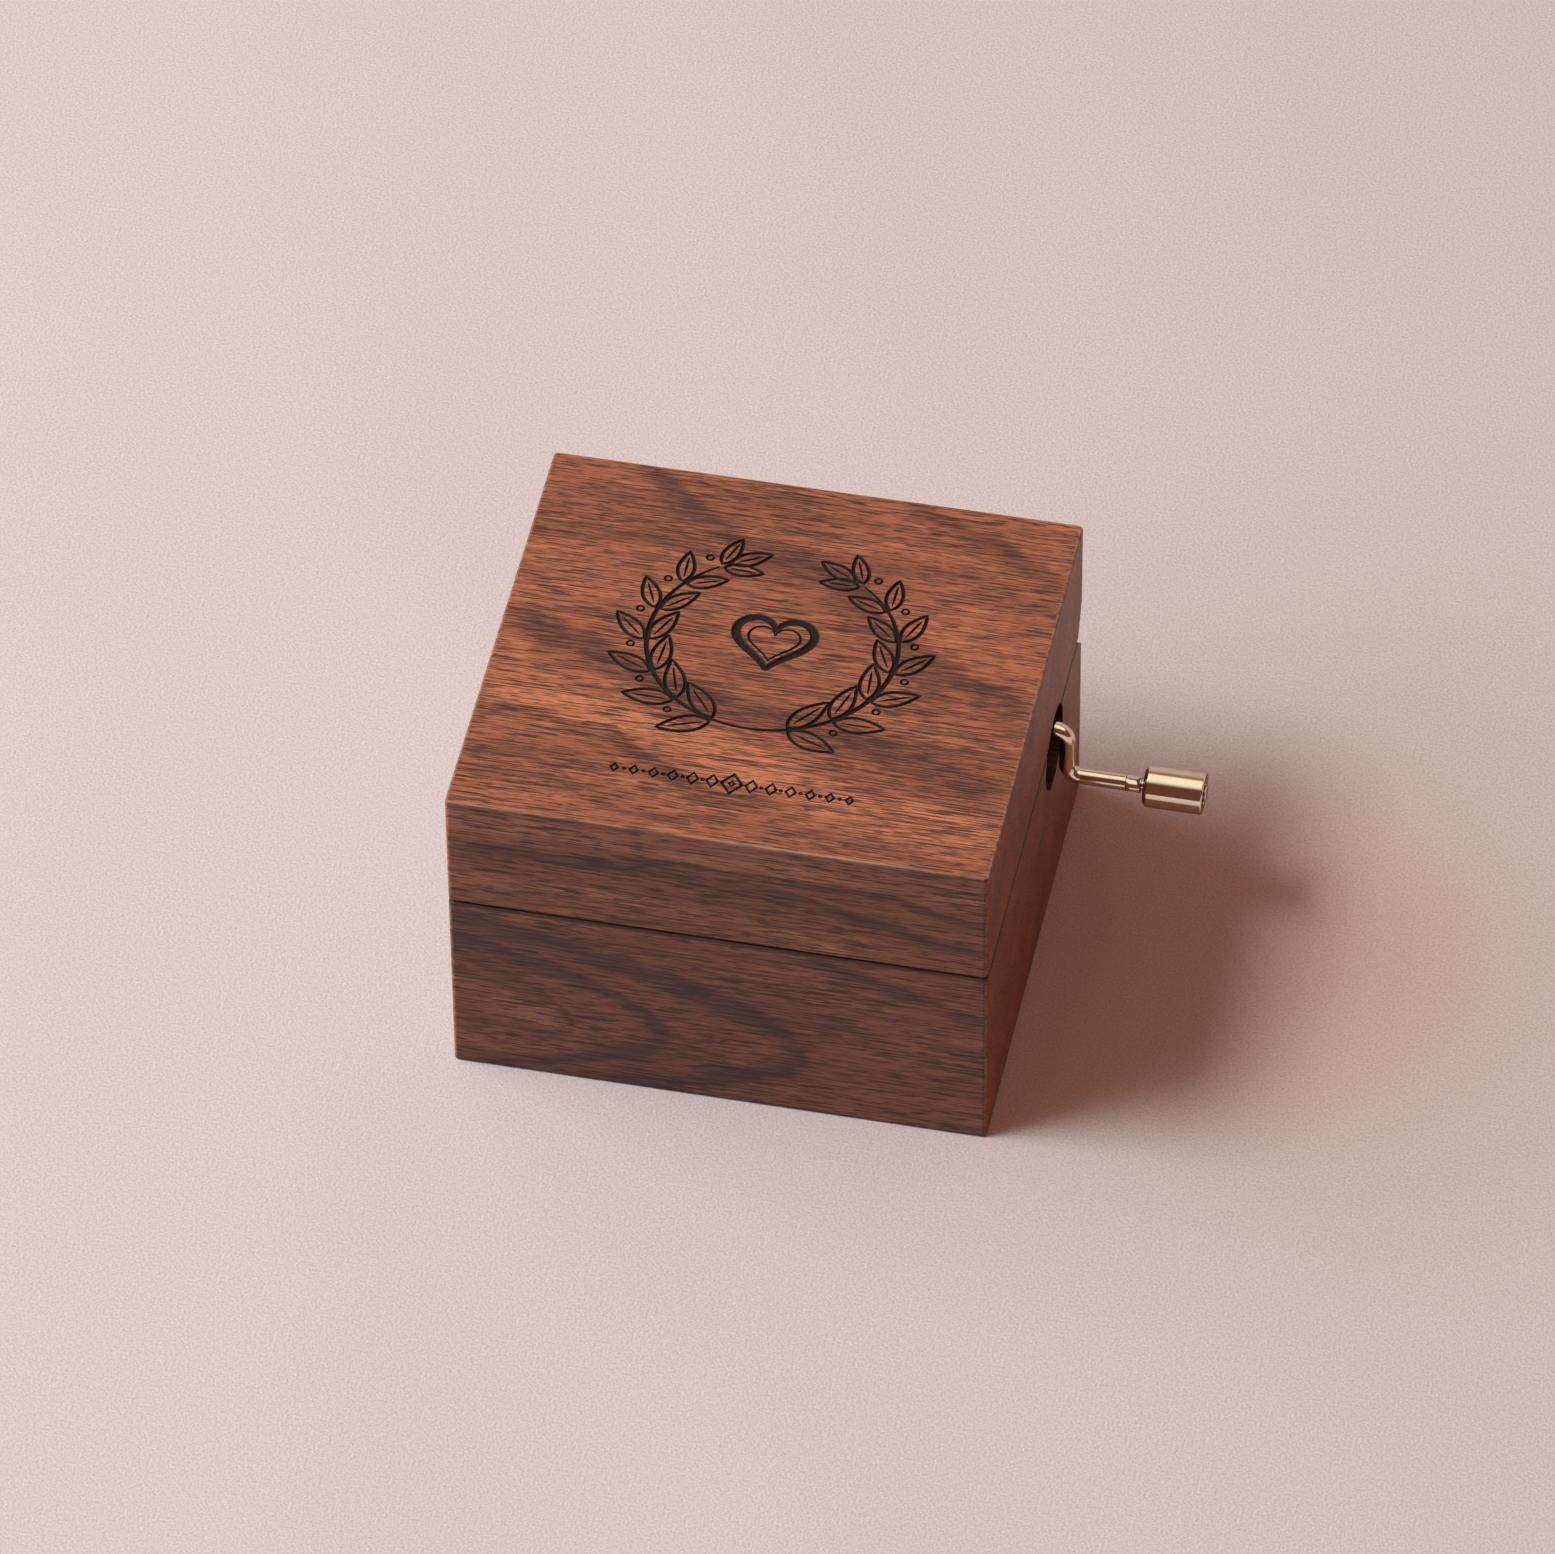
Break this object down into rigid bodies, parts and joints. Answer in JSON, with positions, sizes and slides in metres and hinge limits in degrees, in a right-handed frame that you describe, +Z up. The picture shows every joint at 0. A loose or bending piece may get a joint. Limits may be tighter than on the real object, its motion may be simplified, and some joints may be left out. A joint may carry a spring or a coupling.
{
  "type": "music box",
  "caption": "Small walnut box with a hinged lid, a bent-wire crank on the right side and a comb-and-cylinder movement inside that the crank turns through a worm.",
  "frame": {"origin": "middle of the underside of the base", "axes": "+X to the right, towards the crank; +Y to the back, towards the hinge; +Z up"},
  "size_m": [0.0837, 0.06, 0.0445],
  "materials": {
    "walnut": "satin oiled walnut with dark streaks and fine pores",
    "plated_wire": "bright pale-gold plating",
    "brass": "turned brass",
    "steel": "zinc-plated steel",
    "nickel": "nickel-plated magnet",
    "cast_zinc": "cast zinc, lightly grained",
    "sheet_steel": "plated sheet steel",
    "comb_steel": "ground tool steel",
    "bronze": "bearing bronze"
  },
  "bodies": {
    "base": {"base_box": "walnut", "hinge_left_base_barrel": "brass", "hinge_left_pin": "steel", "hinge_right_base_barrel": "brass", "hinge_right_pin": "steel", "magnet_base_left": "nickel", "magnet_base_right": "nickel", "movement_bed": "cast_zinc", "worm_bracket": "sheet_steel", "bracket_screw_left": "steel", "bracket_screw_right": "steel", "arbor_bush_front": "bronze", "arbor_bush_back": "bronze", "shaft_bush_left": "bronze", "shaft_bush_right": "bronze", "comb": "comb_steel", "comb_screw_front": "steel", "comb_screw_back": "steel", "movement_screw_1": "steel", "movement_screw_2": "steel", "movement_screw_3": "steel"},
    "lid": {"lid": "walnut", "hinge_left_lid_barrel": "brass", "hinge_right_lid_barrel": "brass", "magnet_lid_left": "nickel", "magnet_lid_right": "nickel"},
    "cylinder": {"cylinder": "brass", "cylinder_cap_front": "brass", "cylinder_cap_back": "brass", "cylinder_wheel": "brass", "cylinder_arbor": "steel"},
    "crank": {"crank": "plated_wire", "worm": "brass", "shaft_clip": "steel", "shaft_collar": "brass"},
    "knob": {"crank_knob": "plated_wire"}
  },
  "joints": [
    {"name": "lid_hinge", "type": "hinge", "parent": "base", "child": "lid", "pos_m": [0, 0.0271, 0.0276], "axis": [-1, 0, 0], "range_deg": [0, 108]},
    {"name": "crank_spin", "type": "hinge", "parent": "base", "child": "crank", "pos_m": [0.0325, 0.0121, 0.0275], "axis": [1, 0, 0], "continuous": true},
    {"name": "cylinder_spin", "type": "hinge", "parent": "base", "child": "cylinder", "pos_m": [0.0065, -0.00204, 0.0191], "axis": [0, 1, 0], "continuous": true},
    {"name": "knob_spin", "type": "hinge", "parent": "crank", "child": "knob", "pos_m": [0.0436, 0.0121, 0.0201], "axis": [1, 0, 0], "continuous": true}
  ],
  "couplings": [
    {"joint": "cylinder_spin", "follows": "crank_spin", "ratio": -0.05}
  ]
}
